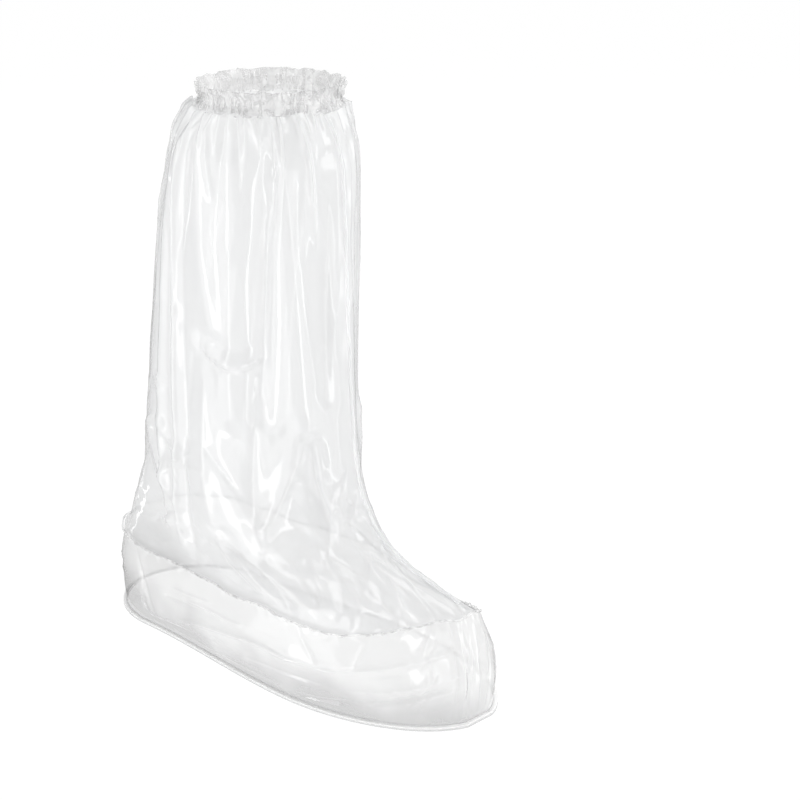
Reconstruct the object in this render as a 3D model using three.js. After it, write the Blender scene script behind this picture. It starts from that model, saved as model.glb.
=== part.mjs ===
// A knee-high boot cover of clear plastic film, standing open on its sole, in millimetres.
//
// A flat sole carries an upright side wall all round the foot. Above the wall one film shell makes
// the vamp, the instep and the wide leg, which gathers into an elasticated ruffle at the top. Welds
// run round both edges of the side wall and down the shin, and two pressed creases stand at the
// back corners of the leg.
//
// +X points to the toe, +Y to the wearer's left and +Z up. The origin lies on the floor, at the
// middle of the sole's length and width. A turn runs round foot, leg and collar alike, from 0 at
// the toe to 180 degrees at the heel.

import * as THREE from "three";

// Overall sizes
const COVER_HEIGHT = 457;
const FOOT_LENGTH = 388;
const HEEL_WIDTH = 131;
const BALL_WIDTH = 155;
const LEG_WIDTH = 118;
const COLLAR_DIAMETER = 113;

// Walls and clearances
const FILM_WALL = 1.2;
const SOLE_WALL = 1.5;
const PIECE_GAP = 0.3;

// Sole outline, seen from above
const HEEL_ROUND_LENGTH = 74;
const BALL_TO_TOE = 134;
const TOE_CUT = 2.4;
const TOE_ROUND_POWER = 1.95;

// Side wall of the foot
const BAND_HEEL_HEIGHT = 70;
const BAND_WAIST_HEIGHT = 67;
const BAND_TOE_HEIGHT = 86;
const BAND_LEAN = 0.5;
const BAND_BULGE = 3.5;
const TOE_LEAN = 8;
const FAR_SAG = 13;
const FAR_LEAN = 10;

// Leg and collar
const COLLAR_CENTRE_X = -24;
const COLLAR_HEIGHT = 17;
const COLLAR_WAIST = 3;
const COLLAR_FOOT_FLARE = 1.5;
const CASING_ROOM = 0.4;
const CRIMP_COUNT = 30;
const CRIMP_DEPTH = 1.6;
const GATHER_COUNT = 15;
const GATHER_DEPTH = 3;
const GATHER_REACH = 40;
const DRAPE_COUNT = 4;
const DRAPE_DEPTH = 2;

// Welds and elastic
const SOLE_WELD_WIDTH = 3.5;
const SOLE_WELD_HEIGHT = 1.8;
const BAND_WELD_WIDTH = 2.5;
const BAND_WELD_HEIGHT = 2.4;
const SHIN_WELD_WIDTH = 4.5;
const SHIN_WELD_THICKNESS = 1.4;
const ELASTIC_WIDTH = 6;
const ELASTIC_THICKNESS = 1.2;

// Mesh steps
const FOOT_COLUMNS = 60;
const COLLAR_COLUMNS = 90;
const ELASTIC_COLUMNS = 60;
const LEG_ROWS = 20;
const BAND_ROWS = 4;

// The leg film in side view, a row for each section from the foot's weld to the collar. front and
// back are the section's ends along X, as shares of half the foot's length. frontZ, sideZ and backZ
// are its heights there and at its sides, as shares of the cover's height. width is the half width
// as a share of half the leg's width. oval goes from 0, the foot's outline, to 1, the leg's oval, and
// pinch is how much the section's front half narrows to its seam.
const SECTION_COLUMNS = ["front", "frontZ", "sideZ", "back", "backZ", "width", "oval", "pinch"];
const LEG_SECTIONS = [
  [0.968, 0.190, 0.150, -0.970, 0.155, 1.22, 0, 0],
  [0.905, 0.197, 0.164, -0.966, 0.168, 1.20, 0.04, 0.1],
  [0.815, 0.205, 0.178, -0.958, 0.186, 1.15, 0.14, 0.24],
  [0.715, 0.215, 0.193, -0.947, 0.207, 1.09, 0.3, 0.36],
  [0.600, 0.230, 0.211, -0.932, 0.232, 1.03, 0.5, 0.42],
  [0.500, 0.249, 0.237, -0.915, 0.258, 0.99, 0.7, 0.42],
  [0.410, 0.286, 0.279, -0.903, 0.292, 0.96, 0.87, 0.36],
  [0.346, 0.335, 0.333, -0.898, 0.337, 0.94, 0.97, 0.26],
  [0.310, 0.400, 0.400, -0.886, 0.400, 0.93, 1, 0.15],
  [0.293, 0.485, 0.485, -0.866, 0.485, 0.92, 1, 0.06],
  [0.284, 0.570, 0.570, -0.832, 0.570, 0.93, 1, 0.02],
  [0.276, 0.655, 0.655, -0.790, 0.655, 0.96, 1, 0],
  [0.270, 0.740, 0.740, -0.742, 0.740, 0.99, 1, 0],
  [0.263, 0.820, 0.820, -0.676, 0.820, 1.01, 1, 0],
  [0.250, 0.885, 0.885, -0.614, 0.885, 1.00, 1, 0],
  [0.216, 0.934, 0.934, -0.536, 0.934, 0.97, 1, 0],
  [0.180, 0.962, 0.962, -0.450, 0.962, 0.97, 1, 0],
];

// Folds of the leg film, a row for each. A fold runs from one turn and height to another, in degrees
// and shares of the cover's height. depth is how far it stands out, or in where it is below 0, as a
// share of half the leg's width, and width its half breadth, as a share of the same.
const LEG_FOLDS = [
  // The pressed creases at the back corners
  { turn: 116, z: 0.15, toTurn: 112, toZ: 0.93, depth: 0.065, width: 0.09 },
  { turn: -116, z: 0.15, toTurn: -112, toZ: 0.93, depth: 0.065, width: 0.09 },
  // Drapes of the upper leg
  { turn: -95, z: 0.93, toTurn: -81, toZ: 0.60, depth: 0.05, width: 0.16 },
  { turn: -70, z: 0.88, toTurn: -69, toZ: 0.45, depth: 0.06, width: 0.24 },
  { turn: -50, z: 0.93, toTurn: -57, toZ: 0.45, depth: -0.05, width: 0.13 },
  { turn: -37, z: 0.90, toTurn: -38, toZ: 0.48, depth: 0.05, width: 0.2 },
  { turn: -20, z: 0.92, toTurn: -18, toZ: 0.50, depth: -0.05, width: 0.16 },
  { turn: 40, z: 0.90, toTurn: 42, toZ: 0.45, depth: 0.05, width: 0.2 },
  { turn: 75, z: 0.92, toTurn: 72, toZ: 0.42, depth: -0.05, width: 0.2 },
  { turn: 150, z: 0.90, toTurn: 152, toZ: 0.45, depth: -0.05, width: 0.22 },
  { turn: -150, z: 0.90, toTurn: -152, toZ: 0.45, depth: -0.05, width: 0.22 },
  // The dent in the middle of the near side
  { turn: -86, z: 0.57, toTurn: -60, toZ: 0.56, depth: -0.06, width: 0.14 },
  // Ankle folds
  { turn: -34, z: 0.44, toTurn: -66, toZ: 0.25, depth: 0.06, width: 0.15 },
  { turn: -33, z: 0.41, toTurn: -36, toZ: 0.28, depth: -0.08, width: 0.14 },
  { turn: -50, z: 0.26, toTurn: -60, toZ: 0.18, depth: -0.06, width: 0.12 },
  { turn: -84, z: 0.22, toTurn: -78, toZ: 0.17, depth: -0.06, width: 0.14 },
  { turn: 36, z: 0.44, toTurn: 64, toZ: 0.25, depth: 0.06, width: 0.18 },
  { turn: 80, z: 0.24, toTurn: 70, toZ: 0.17, depth: -0.06, width: 0.16 },
  // Folds across the heel
  { turn: -126, z: 0.47, toTurn: -110, toZ: 0.44, depth: 0.05, width: 0.12 },
  { turn: -134, z: 0.35, toTurn: -112, toZ: 0.26, depth: 0.05, width: 0.14 },
  { turn: 170, z: 0.30, toTurn: -170, toZ: 0.28, depth: -0.05, width: 0.14 },
  // Folds across the instep
  { turn: -18, z: 0.26, toTurn: -34, toZ: 0.20, depth: -0.04, width: 0.12 },
  { turn: 22, z: 0.25, toTurn: 40, toZ: 0.20, depth: -0.04, width: 0.14 },
];

// Folds of the side wall, with heights as shares of its own height, and depth and width as shares
// of half the heel's width.
const BAND_FOLDS = [
  // Upright creases at the toe's corners
  { turn: -13, z: 0.00, toTurn: -12, toZ: 1.00, depth: -0.06, width: 0.08 },
  { turn: -30, z: 0.00, toTurn: -28, toZ: 1.00, depth: -0.04, width: 0.08 },
  { turn: 13, z: 0.00, toTurn: 12, toZ: 1.00, depth: -0.06, width: 0.08 },
  // Long folds along the sides
  { turn: -115, z: 0.70, toTurn: -98, toZ: 0.66, depth: -0.05, width: 0.1 },
  { turn: -112, z: 0.32, toTurn: -50, toZ: 0.60, depth: 0.05, width: 0.12 },
  { turn: -68, z: 0.10, toTurn: -20, toZ: 0.38, depth: 0.06, width: 0.12 },
  { turn: 112, z: 0.34, toTurn: 60, toZ: 0.58, depth: 0.05, width: 0.14 },
  { turn: 150, z: 0.60, toTurn: 178, toZ: 0.62, depth: -0.05, width: 0.16 },
  { turn: -150, z: 0.60, toTurn: -178, toZ: 0.62, depth: -0.05, width: 0.16 },
];

const HALF_LENGTH = FOOT_LENGTH / 2;
const HALF_BALL = BALL_WIDTH / 2;
const HALF_LEG = LEG_WIDTH / 2;
const COLLAR_FOOT_Z = COVER_HEIGHT - COLLAR_HEIGHT;
const CASING_DEPTH = 2 * FILM_WALL + ELASTIC_THICKNESS + 2 * CASING_ROOM;
const WAIST_HALF = (ELASTIC_WIDTH / 2 + PIECE_GAP) / (COLLAR_HEIGHT - PIECE_GAP);
const WAIST_LOW = 0.5 - WAIST_HALF;
const WAIST_HIGH = 0.5 + WAIST_HALF;
const SOLE_WELD_SHARE = (SOLE_WELD_HEIGHT + PIECE_GAP) / BAND_WAIST_HEIGHT;
const BAND_WELD_SHARE = 1 - (BAND_WELD_HEIGHT / 2 + PIECE_GAP) / (BAND_WAIST_HEIGHT - FAR_SAG);
const FULL_TURN = Math.PI * 2;
const BEND_STEP = 0.01;
const VAMP_SHARE = 0.4;

const mix = (a, b, t) => a + (b - a) * t;
const clamp = (x, low, high) => Math.min(high, Math.max(low, x));
const steps = (count) => Array.from({ length: count + 1 }, (_, i) => i / count);
const evenTurns = (columns) => Array.from({ length: columns }, (_, i) => (i / columns) * FULL_TURN);

function smooth(low, high, x) {
  const t = clamp((x - low) / (high - low), 0, 1);
  return t * t * (3 - 2 * t);
}

// Catmull-Rom value at t between the middle two of four numbers.
function splineValue(a, b, c, d, t) {
  const bend = 2 * a - 5 * b + 4 * c - d + t * (3 * b - a - 3 * c + d);
  return b + 0.5 * t * (c - a + t * bend);
}

// Turns round the foot. The columns nearest to the toe's cut front go to its two corners, and those
// nearest to the back creases go to the creases.
function footTurns() {
  const corner = Math.acos(1 - (2 * TOE_CUT) / (FOOT_LENGTH + TOE_CUT));
  const crease = THREE.MathUtils.degToRad(LEG_FOLDS[0].turn);
  const turns = evenTurns(FOOT_COLUMNS);
  for (const turn of [corner, crease]) {
    const column = Math.max(1, Math.round((turn / FULL_TURN) * FOOT_COLUMNS));
    turns[column] = turn;
    turns[FOOT_COLUMNS - column] = FULL_TURN - turn;
  }
  return turns;
}

// Half the sole's width at x.
function soleHalfWidth(x) {
  const heelX = -HALF_LENGTH + HEEL_ROUND_LENGTH;
  const ballX = HALF_LENGTH - BALL_TO_TOE;
  if (x < heelX) {
    const share = clamp((heelX - x) / HEEL_ROUND_LENGTH, 0, 1);
    return (HEEL_WIDTH / 2) * Math.sqrt(1 - share * share);
  }
  if (x < ballX) return mix(HEEL_WIDTH, BALL_WIDTH, smooth(heelX, ballX, x)) / 2;
  const share = clamp((x - ballX) / (BALL_TO_TOE + TOE_CUT), 0, 1);
  return HALF_BALL * Math.pow(1 - share ** TOE_ROUND_POWER, 1 / TOE_ROUND_POWER);
}

// The sole's outline at a turn, drawn in by inset.
function solePoint(turn, inset) {
  const reach = FOOT_LENGTH + TOE_CUT;
  const along = -HALF_LENGTH + (reach * (1 + Math.cos(turn))) / 2;
  const x = Math.min(along, HALF_LENGTH);
  const y = Math.sign(Math.sin(turn)) * soleHalfWidth(along);
  return new THREE.Vector2(x * (1 - inset / HALF_LENGTH), y * (1 - inset / HALF_BALL));
}

// The sum of a table's folds at a turn in degrees and a height. across turns degrees into lengths,
// tall turns the table's heights into lengths, and unit its depths and widths.
function foldSum(folds, degrees, height, { across, tall, unit }) {
  const x = degrees * across;
  const y = height * tall;
  let sum = 0;
  for (const fold of folds) {
    const runX = (fold.toTurn - fold.turn) * across;
    const runY = (fold.toZ - fold.z) * tall;
    const fromX = x - fold.turn * across;
    const fromY = y - fold.z * tall;
    const along = clamp((fromX * runX + fromY * runY) / (runX ** 2 + runY ** 2), 0, 1);
    const off = Math.hypot(fromX - runX * along, fromY - runY * along) / (fold.width * unit);
    sum += fold.depth * unit * Math.exp(-off * off);
  }
  return sum;
}

const signedDegrees = (turn) => THREE.MathUtils.radToDeg(Math.atan2(Math.sin(turn), Math.cos(turn)));

// The empty foot has sunk a little on the wearer's left, between the ball and the toe: 1 where it has
// sunk most and 0 elsewhere.
function sunk(turn) {
  const share = solePoint(turn, 0).x / HALF_LENGTH;
  return smooth(0, 0.5, Math.sin(turn)) * smooth(0, 0.45, share);
}

// Height of the side wall's upper weld at a turn.
function bandTop(turn) {
  const share = solePoint(turn, 0).x / HALF_LENGTH;
  const rear = mix(BAND_HEEL_HEIGHT, BAND_WAIST_HEIGHT, smooth(-0.9, -0.5, share));
  return mix(rear, BAND_TOE_HEIGHT, smooth(0.45, 1, share) ** 1.5) - FAR_SAG * sunk(turn);
}

// How far the side wall is drawn in from the sole's outline at a turn and a share of its height.
function bandInset(turn, share) {
  const rise = Math.min(share / BAND_WELD_SHARE, 1);
  const toe = TOE_LEAN * Math.max(Math.cos(turn), 0) ** 6 * rise ** 4;
  const far = FAR_LEAN * sunk(turn) * rise ** 2;
  return SOLE_WELD_WIDTH + PIECE_GAP + BAND_LEAN * share + toe + far;
}

// The side wall's surface at a turn and a share of its height. It is upright beside its two welds
// and swells between them.
function bandPoint(turn, share) {
  const low = SOLE_WALL + PIECE_GAP;
  const across = HALF_LENGTH * THREE.MathUtils.degToRad(1);
  const z = mix(low, bandTop(turn), share);
  const free = clamp((share - SOLE_WELD_SHARE) / (BAND_WELD_SHARE - SOLE_WELD_SHARE), 0, 1);
  const swell = Math.sin(Math.PI * free);
  const scale = { across, tall: BAND_WAIST_HEIGHT, unit: HEEL_WIDTH / 2 };
  const folds = foldSum(BAND_FOLDS, signedDegrees(turn), share, scale);
  const out = BAND_BULGE * swell + folds * swell;
  const plan = solePoint(turn, bandInset(turn, share) - out);
  return new THREE.Vector3(plan.x, plan.y, z);
}

// The leg's section at a share of the way up, with every column of the table splined.
function legSection(share) {
  const last = LEG_SECTIONS.length - 1;
  const at = clamp(share, 0, 1) * last;
  const row = Math.min(Math.floor(at), last - 1);
  const near = [row - 1, row, row + 1, row + 2].map((i) => LEG_SECTIONS[clamp(i, 0, last)]);
  const column = (name) => {
    const place = SECTION_COLUMNS.indexOf(name);
    return splineValue(...near.map((section) => section[place]), at - row);
  };
  return {
    front: column("front") * HALF_LENGTH,
    back: column("back") * HALF_LENGTH,
    halfWidth: column("width") * HALF_LEG,
    frontZ: column("frontZ") * COVER_HEIGHT,
    sideZ: column("sideZ") * COVER_HEIGHT,
    backZ: column("backZ") * COVER_HEIGHT,
    oval: clamp(column("oval"), 0, 1),
    pinch: column("pinch"),
  };
}

// How far the collar's gathers stand out at a turn. They fade down the leg.
function gather(turn, below) {
  return GATHER_DEPTH * Math.exp(-Math.max(below, 0) / GATHER_REACH) * Math.cos(GATHER_COUNT * turn + 0.6);
}

// The radius of the collar's outer face at a share of its height. It is even along the elastic and
// widens above and below it.
function collarRadius(share) {
  const drawn = smooth(0, WAIST_LOW, share) * (1 - smooth(WAIST_HIGH, 1, share));
  const foot = COLLAR_FOOT_FLARE * (1 - smooth(0, WAIST_LOW, share));
  return COLLAR_DIAMETER / 2 - COLLAR_WAIST * drawn + foot;
}

// The vamp and leg's surface at a turn and a share of the way up.
function legPoint(turn, share) {
  const section = legSection(share);
  const along = Math.cos(turn);
  const foot = bandPoint(turn, 1);
  const footHalfX = HALF_LENGTH - SOLE_WELD_WIDTH - PIECE_GAP - BAND_LEAN;
  const footHalfY = footHalfX * (HALF_BALL / HALF_LENGTH);
  const endZ = along > 0 ? section.frontZ : section.backZ;
  const sag = sunk(turn) * (1 - smooth(0, VAMP_SHARE, share));
  const z = Math.min(mix(section.sideZ, endZ, along * along), COLLAR_FOOT_Z) - FAR_SAG * sag;
  const centreX = (section.front + section.back) / 2;
  const halfX = (section.front - section.back) / 2;
  const across = ((halfX + section.halfWidth) / 2) * THREE.MathUtils.degToRad(1);
  const scale = { across, tall: COVER_HEIGHT, unit: HALF_LEG };
  const folds = foldSum(LEG_FOLDS, signedDegrees(turn), z / COVER_HEIGHT, scale);
  const drape = DRAPE_DEPTH * smooth(0.2, 0.45, z / COVER_HEIGHT) * Math.cos(DRAPE_COUNT * turn + 1);
  const below = COLLAR_FOOT_Z - z;
  const relief = (folds + drape) * smooth(0, GATHER_REACH, below) + gather(turn, below);
  const out = relief * smooth(0, 0.2, share);
  const ovalX = centreX + (halfX + out) * along;
  const narrow = 1 - section.pinch * Math.max(along, 0) ** 2 - (FAR_LEAN / HALF_BALL) * sag;
  const ovalY = (section.halfWidth + out) * Math.sin(turn) * narrow;
  const outlineX = centreX + (foot.x / footHalfX) * halfX;
  const outlineY = (foot.y / footHalfY) * section.halfWidth * narrow;
  const sectionPoint = new THREE.Vector3(
    mix(outlineX, ovalX, section.oval),
    mix(outlineY, ovalY, section.oval),
    z,
  );
  const last = LEG_SECTIONS.length - 1;
  const start = foot.setZ(foot.z + PIECE_GAP).lerp(sectionPoint, smooth(0, 1 / last, share));
  const radius = collarRadius(0) + gather(turn, 0);
  const end = new THREE.Vector3(
    COLLAR_CENTRE_X + radius * along,
    radius * Math.sin(turn),
    COLLAR_FOOT_Z,
  );
  return start.lerp(end, smooth(1 - 1.5 / last, 1, share));
}

// A closed solid from rings of equal length, each joined to the next, and the last to the first when
// the rings make a loop. An open run of rings is capped at both ends.
function solidFromRings(rings, looped) {
  const size = rings[0].length;
  const positions = rings.flat().flatMap((point) => [point.x, point.y, point.z]);
  const index = [];
  const runs = looped ? rings.length : rings.length - 1;
  for (let r = 0; r < runs; r++) {
    const low = r * size;
    const high = ((r + 1) % rings.length) * size;
    for (let i = 0; i < size; i++) {
      const next = (i + 1) % size;
      index.push(low + i, low + next, high + next, low + i, high + next, high + i);
    }
  }
  if (!looped) {
    const last = (rings.length - 1) * size;
    for (let i = 1; i < size - 1; i++) {
      index.push(0, i + 1, i, last, last + i, last + i + 1);
    }
  }
  const geometry = new THREE.BufferGeometry();
  geometry.setAttribute("position", new THREE.Float32BufferAttribute(positions, 3));
  geometry.setIndex(index);
  geometry.computeVertexNormals();
  return geometry;
}

// A point one wall inside the surface. At the shell's two rims it keeps the rim's height.
function insidePoint(pointAt, turn, share) {
  const here = pointAt(turn, share);
  const atRim = share === 0 || share === 1;
  const round = pointAt(turn + BEND_STEP, share).sub(pointAt(turn - BEND_STEP, share));
  const up = atRim
    ? new THREE.Vector3(0, 0, 1)
    : pointAt(turn, share + BEND_STEP).sub(pointAt(turn, share - BEND_STEP));
  return here.addScaledVector(round.cross(up).normalize(), -FILM_WALL);
}

// A shell wall: rings up its outside, then down its inside, as one loop.
function shellSolid(turns, shares, pointAt) {
  const outside = shares.map((share) => turns.map((turn) => pointAt(turn, share)));
  const inside = shares.map((share) => turns.map((turn) => insidePoint(pointAt, turn, share)));
  return solidFromRings([...outside, ...inside.reverse()], true);
}

function film(colour, roughness, opacity) {
  return new THREE.MeshStandardMaterial({
    color: colour,
    roughness,
    metalness: 0,
    transparent: true,
    opacity,
    side: THREE.DoubleSide,
  });
}

const clearFilm = film(0xf2f4f5, 0.12, 0.32);
const soleFilm = film(0xe9ebec, 0.18, 0.42);
const weldedFilm = film(0xdfe2e4, 0.22, 0.55);
const elasticRubber = film(0xf6f5f2, 0.45, 0.7);

function piece(name, geometry, material) {
  const mesh = new THREE.Mesh(geometry, material);
  mesh.name = name;
  return mesh;
}

function sole() {
  const ring = (z) => footTurns().map((turn) => {
    const plan = solePoint(turn, 0);
    return new THREE.Vector3(plan.x, plan.y, z);
  });
  return piece("sole", solidFromRings([ring(0), ring(SOLE_WALL)], false), soleFilm);
}

function soleWeld() {
  const low = SOLE_WALL + PIECE_GAP;
  const high = low + SOLE_WELD_HEIGHT;
  const corners = [[0, low], [0, high], [SOLE_WELD_WIDTH, high], [SOLE_WELD_WIDTH, low]];
  const rings = corners.map(([inset, z]) => footTurns().map((turn) => {
    const plan = solePoint(turn, inset);
    return new THREE.Vector3(plan.x, plan.y, z);
  }));
  return piece("sole_weld", solidFromRings(rings, true), weldedFilm);
}

function footBand() {
  const between = steps(BAND_ROWS).map((step) => mix(SOLE_WELD_SHARE, BAND_WELD_SHARE, step));
  const shares = [0, ...between, 1];
  return piece("foot_band", shellSolid(footTurns(), shares, bandPoint), clearFilm);
}

// The weld stands out from the joint of side wall and leg film, with its inner face clear of both.
function bandWeld() {
  const near = PIECE_GAP;
  const far = PIECE_GAP + BAND_WELD_WIDTH;
  const half = BAND_WELD_HEIGHT / 2;
  const corners = [[far, -half], [far, half], [near, half], [near, -half]];
  const rings = corners.map(([out, rise]) => footTurns().map((turn) => {
    const plan = solePoint(turn, bandInset(turn, 1) - out);
    return new THREE.Vector3(plan.x, plan.y, bandTop(turn) + rise);
  }));
  return piece("band_weld", solidFromRings(rings, true), weldedFilm);
}

function legFilm() {
  return piece("leg_film", shellSolid(footTurns(), steps(LEG_ROWS), legPoint), clearFilm);
}

// A flat fin that stands out along the shin and instep, from the collar to the toe.
function shinWeld() {
  const shares = steps(LEG_ROWS).slice(1, -1).reverse();
  const rings = shares.map((share) => {
    const seat = legPoint(0, share);
    const run = legPoint(0, share + BEND_STEP).sub(legPoint(0, share - BEND_STEP));
    const out = new THREE.Vector3(run.z, 0, -run.x).normalize();
    const corner = (reach, side) =>
      seat.clone().addScaledVector(out, reach).setY((side * SHIN_WELD_THICKNESS) / 2);
    const far = PIECE_GAP + SHIN_WELD_WIDTH;
    return [corner(PIECE_GAP, -1), corner(PIECE_GAP, 1), corner(far, 1), corner(far, -1)];
  });
  return piece("shin_weld", solidFromRings(rings, false), weldedFilm);
}

// The collar's crimps at a turn, from 0 to 1. They grow from the foot of the collar to its rim.
function crimp(turn, share) {
  return CRIMP_DEPTH * (0.5 + 0.5 * Math.cos(CRIMP_COUNT * turn)) * mix(0.5, 1, share);
}

// The casing is film turned over the elastic, open at its foot: an outer wall, a fold over the rim
// and an inner wall, with the elastic between them.
function collarCasing() {
  const turns = evenTurns(COLLAR_COLUMNS);
  const room = CASING_DEPTH - FILM_WALL;
  const rim = COVER_HEIGHT - COLLAR_FOOT_Z - PIECE_GAP;
  const under = (rim - FILM_WALL) / rim;
  const up = [0, WAIST_LOW, WAIST_HIGH];
  const down = [WAIST_HIGH, WAIST_LOW, 0];
  const face = (shares, inset, side) => shares.map((share) => ({ share, inset, side }));
  const profile = [
    ...face([...up, 1], 0, 1),
    ...face([1, ...down], CASING_DEPTH, -1),
    ...face([...up, under], room, -1),
    ...face([under, ...down], FILM_WALL, 1),
  ];
  const rings = profile.map(({ share, inset, side }) => turns.map((turn) => {
    const fade = smooth(0, WAIST_LOW, share);
    const stand = side * crimp(turn, share) * fade + gather(turn, 0) * (1 - fade);
    const radius = collarRadius(share) + stand - inset;
    const x = COLLAR_CENTRE_X + radius * Math.cos(turn);
    return new THREE.Vector3(x, radius * Math.sin(turn), COLLAR_FOOT_Z + PIECE_GAP + rim * share);
  }));
  return piece("collar_casing", solidFromRings(rings, true), clearFilm);
}

// The elastic lies between the casing's two walls, at the collar's waist.
function elasticBand() {
  const outer = collarRadius(WAIST_LOW) - FILM_WALL - CASING_ROOM;
  const middle = (COLLAR_FOOT_Z + PIECE_GAP + COVER_HEIGHT) / 2;
  const half = ELASTIC_WIDTH / 2;
  const profile = [
    [outer, middle - half],
    [outer, middle + half],
    [outer - ELASTIC_THICKNESS, middle + half],
    [outer - ELASTIC_THICKNESS, middle - half],
  ];
  const rings = profile.map(([radius, z]) => evenTurns(ELASTIC_COLUMNS).map((turn) =>
    new THREE.Vector3(COLLAR_CENTRE_X + radius * Math.cos(turn), radius * Math.sin(turn), z)));
  return piece("elastic_band", solidFromRings(rings, true), elasticRubber);
}

const boot = new THREE.Group();
boot.add(sole(), soleWeld(), footBand(), bandWeld(), legFilm(), shinWeld());
boot.add(collarCasing(), elasticBand());

export default boot;
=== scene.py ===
# The looks of a knee-high boot cover of clear plastic film, in metres.
#
# The film's shapes are worked out on grids that run round the foot, leg and collar by their turn, 0
# at the toe and 180 degrees at the heel, and up them by a share from 0 to 1. A minus turn is on the
# wearer's right.

import math

import bpy
import numpy as np
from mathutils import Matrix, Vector


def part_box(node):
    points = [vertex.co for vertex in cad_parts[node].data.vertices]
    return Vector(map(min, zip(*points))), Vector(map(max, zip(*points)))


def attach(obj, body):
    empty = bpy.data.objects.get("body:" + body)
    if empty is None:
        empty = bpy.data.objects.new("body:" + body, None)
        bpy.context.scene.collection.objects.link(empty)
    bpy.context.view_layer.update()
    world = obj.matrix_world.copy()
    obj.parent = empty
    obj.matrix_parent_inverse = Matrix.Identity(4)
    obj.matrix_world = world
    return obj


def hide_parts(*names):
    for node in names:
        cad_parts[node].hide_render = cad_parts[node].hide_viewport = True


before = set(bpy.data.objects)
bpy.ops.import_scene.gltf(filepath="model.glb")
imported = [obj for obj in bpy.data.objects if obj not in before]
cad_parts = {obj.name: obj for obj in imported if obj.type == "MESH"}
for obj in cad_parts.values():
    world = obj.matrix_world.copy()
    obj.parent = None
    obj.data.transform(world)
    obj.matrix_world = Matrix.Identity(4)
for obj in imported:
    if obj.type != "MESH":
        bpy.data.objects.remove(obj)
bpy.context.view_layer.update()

# Sizes from the frame
SOLE_LOW, SOLE_HIGH = (Vector(corner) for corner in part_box("sole"))
FOOT_LENGTH = SOLE_HIGH.x - SOLE_LOW.x
BALL_WIDTH = SOLE_HIGH.y - SOLE_LOW.y
SOLE_TOP = SOLE_HIGH.z
COVER_HEIGHT = Vector(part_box("collar_casing")[1]).z
HALF_LENGTH = FOOT_LENGTH / 2
HALF_BALL = BALL_WIDTH / 2

# Sizes of the film's forms
MM = 0.001
HEEL_WIDTH = 131 * MM
HALF_LEG = 59 * MM
HEEL_ROUND_LENGTH = 74 * MM
BALL_TO_TOE = 134 * MM
TOE_CUT = 2.4 * MM
TOE_ROUND_POWER = 1.95
BAND_HEEL_HEIGHT = 70 * MM
BAND_WAIST_HEIGHT = 67 * MM
BAND_TOE_HEIGHT = 86 * MM
BAND_INSET = 3.8 * MM
BAND_BULGE = 3.5 * MM
TOE_LEAN = 8 * MM
FAR_SAG = 13 * MM
FAR_LEAN = 10 * MM
COLLAR_CENTRE_X = -24 * MM
COLLAR_RIM_RADIUS = 56.5 * MM
COLLAR_WAIST = 3 * MM
COLLAR_HEIGHT = 17 * MM
COLLAR_FOOT_Z = COVER_HEIGHT - COLLAR_HEIGHT
DRAPE_DEPTH = 2 * MM
VAMP_SHARE = 0.4

SOLE_WELD_WIDTH = 3.5 * MM
SOLE_WELD_HEIGHT = 1.8 * MM
BAND_WELD_WIDTH = 2.5 * MM
BAND_WELD_HEIGHT = 2.4 * MM
SHIN_WELD_WIDTH = 3.0 * MM
SHIN_WELD_THICKNESS = 1.4 * MM
PIECE_GAP = 0.3 * MM
SEAM_WANDER = 1.1 * MM
SEAM_PUCKER = 0.4 * MM
FIN_WANDER = 0.25 * MM
SHEET_LIFT = 0.3 * MM
SHEET_RIPPLE = 0.25 * MM
SHEET_ARCH = 0.1 * MM
ELASTIC_INSET = 4.0 * MM
ELASTIC_WIDTH = 6 * MM
ELASTIC_THICKNESS = 0.8 * MM
ELASTIC_Z = COVER_HEIGHT - 8.5 * MM

# The length of the leg's film from the foot's weld to the collar
LEG_RUN = 0.33

# Mean breadth of one degree of turn on the leg, the side wall, the collar and the sole
DEGREE = math.radians(1)
LEG_DEGREE = HALF_LEG * 1.1 * DEGREE
BAND_DEGREE = HALF_LENGTH * DEGREE * 0.72
COLLAR_DEGREE = COLLAR_RIM_RADIUS * DEGREE
SOLE_DEGREE = 2 * MM

# The way from the sole's middle to its edge, as its ripple takes it
SOLE_RUN = 0.16

# Depths of the facets and crimps, and how far they and the gathers reach or fade
PANEL_DEPTH = 2.4 * MM
ANKLE_DEPTH = 2.6 * MM
GATHER_DEPTH = 2.6 * MM
SEAM_CRINKLE_DEPTH = 1.2 * MM
BAND_FACET_DEPTH = 2.0 * MM
CRIMP_DEPTH = 3.8 * MM
FINE_CRIMP_DEPTH = 0.9 * MM
RUFFLE_DEPTH = 1.4 * MM
CASING_FOLD = 1.8 * MM
HEM_DROP = 2.0 * MM
COLLAR_FADE = 18 * MM
GATHER_REACH = 22 * MM
SEAM_FADE = 10 * MM
PUCKER_FADE = 1.5 * MM

# Shares of the small creases and of the gathers that stand out from the film
CREASE_OUT_SHARE = 0.55
PLEAT_OUT_SHARE = 0.7

# The squared distance from its middle at which a facet's hollow ends, and what centres its depth
FACET_REACH = 1.4
FACET_OFFSET = 0.4

# Grid steps, and the least length that is divided by
LEG_COLUMNS = 360
LEG_ROWS = 268
BAND_COLUMNS = 600
BAND_ROWS = 70
COLLAR_COLUMNS = 720
COLLAR_ROWS = 48
RIM_COLUMNS = 720
FIN_STEPS = 240
SOLE_RINGS = 40
LIP_RINGS = 4
TUBE_SIDES = 12
SEAM_SIDES = 10
TINY = 1e-12

# The camera's place and aim, and its lens and sensor in mm
CAMERA_PLACE = Vector((1.0842, -1.0164, 0.7193))
CAMERA_AIM = Vector((-0.6543, 0.6829, -0.3250))
CAMERA_LENS = 90.46
CAMERA_SENSOR = 36

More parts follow.
